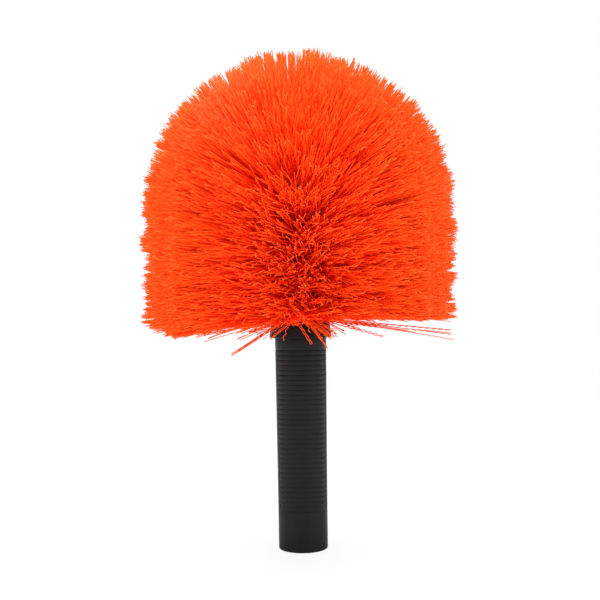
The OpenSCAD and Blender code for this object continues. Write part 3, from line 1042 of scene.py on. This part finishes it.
@dataclass(frozen=True)
class StrayBristle:
    """Filaments that escaped the trimming and hang in front of the collar and under the head."""

    layout: Layout
    seed: int = 91
    rings: int = 120
    radius: float = 0.27
    # Strays take the pale end of the bristle's ramp, painted light on filaments that hang out in
    # the open.
    shade: Span = (0.7, 1.0)
    root_in: float = 2.0
    root_spread: float = 0.8
    knee_out: float = 3.0
    turn_spread: float = 0.03
    collar_r: float = 20.4
    lip_out: Span = (0.2, 1.6)
    lip_up: Span = (-0.2, 1.4)
    crimp_length: float = 4.2
    crimp_turn: float = 0.6
    crimp_range: Span = (0.8, 1.2)
    crimp_from: float = 0.4
    finish: CrimpedBristle = CrimpedBristle("stray_bristle")
    locks: tuple[StrayLock, ...] = tuple(StrayLock(lock[:3], *lock[3:]) for lock in (
        (-10.9, -24.0, 133.9, -107, 1, 0.2, 0.55),
        (-18.8, -25.0, 134.7, -106, 2, 0.6, 0.35),
        (-41.7, -34.0, 125.7, -117, 3, 0.8, 0.25),
        (-38.1, -33.0, 127.4, -114, 2, 0.7, 0.3),
        (-24.0, -27.0, 136.4, -112, 3, 1.0, 0.4),
        (-30.2, -30.0, 137.7, -125, 4, 1.2, 0.4),
        (-38.0, -34.0, 135.5, -130, 3, 1.4, 0.4),
        (-36.0, -38.0, 138.6, -140, 3, 1.2, 0.4),
        (-58.0, -52.0, 137.8, -140, 3, 2.0, 0.5),
        (7.0, -26.0, 131.0, -97, 2, 0.3, 0.3),
        (6.2, -23.0, 137.6, -81, 1, 0.3, 0.5),
        (10.5, -24.0, 138.6, -80, 3, 1.0, 0.45),
        (16.2, -25.0, 128.3, -76, 4, 0.6, 0.3),
        (13.0, -25.0, 134.4, -77, 3, 0.8, 0.35),
        (15.7, -24.0, 136.6, -74, 4, 1.0, 0.4),
        (19.9, -26.0, 134.8, -72, 4, 0.9, 0.35),
        (19.0, -25.0, 139.4, -66, 4, 1.2, 0.4),
        (23.1, -25.0, 137.2, -60, 3, 0.9, 0.4),
        (27.6, -27.0, 137.8, -48, 3, 0.7, 0.45),
        (35.7, -30.0, 139.8, -42, 3, 0.8, 0.5),
        (50.0, -34.0, 135.6, -38, 2, 0.6, 0.6),
        (66.0, -45.0, 139.0, -38, 3, 1.4, 0.5),
        (91.8, -34.0, 134.6, -28, 3, 1.2, 0.5),
        (94.0, -14.0, 138.4, -16, 2, 1.0, 0.5),
        (24.0, 40.0, 136.0, 60, 3, 1.4, 0.6),
        (-30.0, 34.0, 137.0, 128, 3, 1.4, 0.6),
        (-4.0, 26.0, 133.0, 96, 2, 0.8, 0.8),
        (62.0, 38.0, 139.0, 32, 3, 1.8, 0.5),
        (-70.0, 24.0, 139.0, 162, 3, 1.8, 0.5),
    ))

    def build(self) -> None:
        """Makes all strays as one piece, rooted in the two lowest rows of tufts."""
        rng = np.random.default_rng(self.seed)
        lines = np.array([self.line(lock, rng) for lock in self.locks for _ in range(lock.count)])
        strands = Strands("stray_bristle", len(lines), self.rings)
        strands.lay(lines, self.radius * rng.uniform(0.92, 1.08, len(lines)))
        strands.mark(np.linspace(*self.shade, self.rings), rng.uniform(0.2, 0.9, len(lines)))
        dress(strands.piece, self.finish.material())
        seat(strands.piece, ["tuft_row_1"])

    def line(self, lock: StrayLock, rng: Chance) -> np.ndarray:
        """One stray: out of the nearest of the low holes, over the collar's rim, down to its tip.

        Args:
            lock: the lock that it belongs to.
            rng: the source of chance.

        Returns:
            Its middle points in millimetres.
        """
        plan = self.layout
        tip = np.array(lock.tip) + rng.normal(0, lock.spread, 3)
        turn = math.radians(lock.over) + rng.normal(0, self.turn_spread)
        off = {(row, k): math.remainder(plan.turn(row, k) - turn, math.tau)
               for row in (0, 1) for k in range(plan.tufts(row))}
        row, k = min(off, key=lambda tuft: abs(off[tuft]))
        out = plan.axis(row, k)
        root = plan.mouth(row, k) - self.root_in * out + rng.normal(0, self.root_spread, 3)
        knee = root + out * self.knee_out
        lip = plan.place((self.collar_r + rng.uniform(*self.lip_out), rng.uniform(*self.lip_up)),
                         turn)
        t = np.linspace(0.0, 1.0, self.rings)[:, None]
        hang = np.linalg.norm(tip - lip)
        reach = hang / (hang + np.linalg.norm(lip - root))
        split = 1 - reach
        first = np.clip(t / split, 0, 1)
        second = np.clip((t - split) / reach, 0, 1)
        start = (1 - first) ** 2 * root + 2 * first * (1 - first) * knee + first ** 2 * lip
        line = np.where(t < split, start, lip + (tip - lip) * second)
        way = (tip - root)[None] / np.linalg.norm(tip - root)
        beside, across = (side[0] for side in square_to(way))
        plane, phase = rng.uniform(-self.crimp_turn, self.crimp_turn), rng.uniform(0, 6)
        length = np.cumsum(np.linalg.norm(np.diff(line, axis=0, prepend=line[:1]), axis=1))
        wave = lock.crimp * np.sin(length / self.crimp_length * math.tau + phase)
        wave *= rng.uniform(*self.crimp_range, self.rings)
        wave *= np.clip(t[:, 0] / split - self.crimp_from, 0, 1)
        return line + wave[:, None] * (math.cos(plane) * beside + math.sin(plane) * across)


# Studio


@dataclass(frozen=True)
class SoftBox:
    """A large soft lamp, by its place, what it points at, its size and its power."""

    name: str
    place: Point
    aim: Point
    size: Span
    power: float

    def build(self) -> None:
        """Adds the lamp."""
        lamp = bpy.data.lights.new(self.name, "AREA")
        lamp.shape, lamp.size, lamp.size_y = "RECTANGLE", *self.size
        lamp.energy = self.power
        made = bpy.data.objects.new(self.name, lamp)
        made.location = self.place
        way = Vector(self.aim) - Vector(self.place)
        made.rotation_euler = way.to_track_quat("-Z", "Y").to_euler()
        bpy.context.scene.collection.objects.link(made)


@dataclass(frozen=True)
class Studio:
    """Pale floor, white surroundings, soft lamps and the camera at the photo's viewing angle."""

    floor_half: float = 40.0
    floor_drop: float = 0.0002
    floor_colour: Colour = (0.86, 0.86, 0.86, 1.0)
    shadow_share: float = 0.86
    shadow_fade: Span = (0.3, 1.1)
    world_strength: float = 0.80
    camera_place: Point = (0.0, -0.640, 0.1584)
    lens: float = 60.0
    sensor: float = 36.0
    roll: float = -0.82
    lamps: tuple[SoftBox, ...] = (
        SoftBox("left_box", (-1.3, -0.7, 0.24), (0.0, 0.0, 0.18), (0.7, 0.9), 7.8),
        SoftBox("right_box", (1.3, -0.7, 0.24), (0.0, 0.0, 0.18), (0.7, 0.9), 7.4),
        SoftBox("front_box", (0.0, -1.3, 0.95), (0.0, 0.0, 0.18), (0.9, 0.7), 6.5),
        SoftBox("top_box", (0.0, 0.1, 1.5), (0.0, 0.0, 0.2), (1.2, 1.2), 38.0),
        SoftBox("back_box", (0.0, 1.5, 0.6), (0.0, 0.0, 0.2), (1.4, 0.9), 20.0),
    )

    def build(self) -> None:
        """Sets up everything round the brush."""
        self.floor()
        self.world()
        for lamp in self.lamps:
            lamp.build()
        camera = bpy.data.cameras.new("photo_camera")
        camera.lens, camera.sensor_width, camera.sensor_fit = self.lens, self.sensor, "HORIZONTAL"
        camera.clip_start = 0.01
        made = bpy.data.objects.new("photo_camera", camera)
        level = Euler((math.pi / 2, 0.0, 0.0)).to_matrix()
        made.matrix_world = (Matrix.Translation(self.camera_place)
                             @ (level @ Matrix.Rotation(math.radians(self.roll), 3, "Z")).to_4x4())
        bpy.context.scene.collection.objects.link(made)
        bpy.context.scene.camera = made
        bpy.context.scene.view_settings.view_transform = "Standard"

    def floor(self) -> None:
        """Adds the floor just under the handle's mouth, white to the camera but for its shadow."""
        plane = bmesh.new()
        bmesh.ops.create_grid(plane, x_segments=1, y_segments=1, size=self.floor_half)
        bmesh.ops.translate(plane, verts=plane.verts, vec=(0.0, 0.0, -self.floor_drop))
        piece = link("floor", plane)
        graph = Graph(bpy.data.materials.new("pale_floor"))
        cloud = graph.noise(3.0)
        base = graph.blend(cloud, self.floor_colour, tuple(0.98 * c for c in self.floor_colour))
        matte = graph.node("ShaderNodeBsdfDiffuse", {}, {"Color": base})
        glow = graph.node("ShaderNodeEmission", {}, {"Color": WHITE, "Strength": 1.0})
        seen = graph.node("ShaderNodeLightPath", output="Is Camera Ray")
        reach = graph.node("ShaderNodeVectorMath", {"operation": "LENGTH"}, {0: graph.place()},
                           output="Value")
        share = seen * graph.spread(reach, *self.shadow_fade, self.shadow_share, 1.0)
        graph.close(graph.node("ShaderNodeMixShader", {}, {0: share, 1: matte, 2: glow}))
        dress(piece, graph.owner)

    def world(self) -> None:
        """Surrounds the brush with even pale light, pure white where the camera sees it."""
        world = bpy.data.worlds.new("studio")
        bpy.context.scene.world = world
        graph = Graph(world)
        seen = graph.node("ShaderNodeLightPath", output="Is Camera Ray")
        level = graph.spread(seen, 0.0, 1.0, self.world_strength, 1.0)
        back = graph.node("ShaderNodeBackground", {}, {"Color": WHITE, "Strength": level})
        graph.close(back, "ShaderNodeOutputWorld")


def main() -> None:
    """Builds the brush and its studio."""
    logging.basicConfig(level=logging.INFO, format="%(name)s: %(message)s")
    layout = Layout()
    Studio().build()
    SocketHandle().build()
    DrilledBlock(layout).build()
    Fastenings().build()
    BristleHead(layout).build()
    StrayBristle(layout).build()


if __name__ == "__main__":
    main()
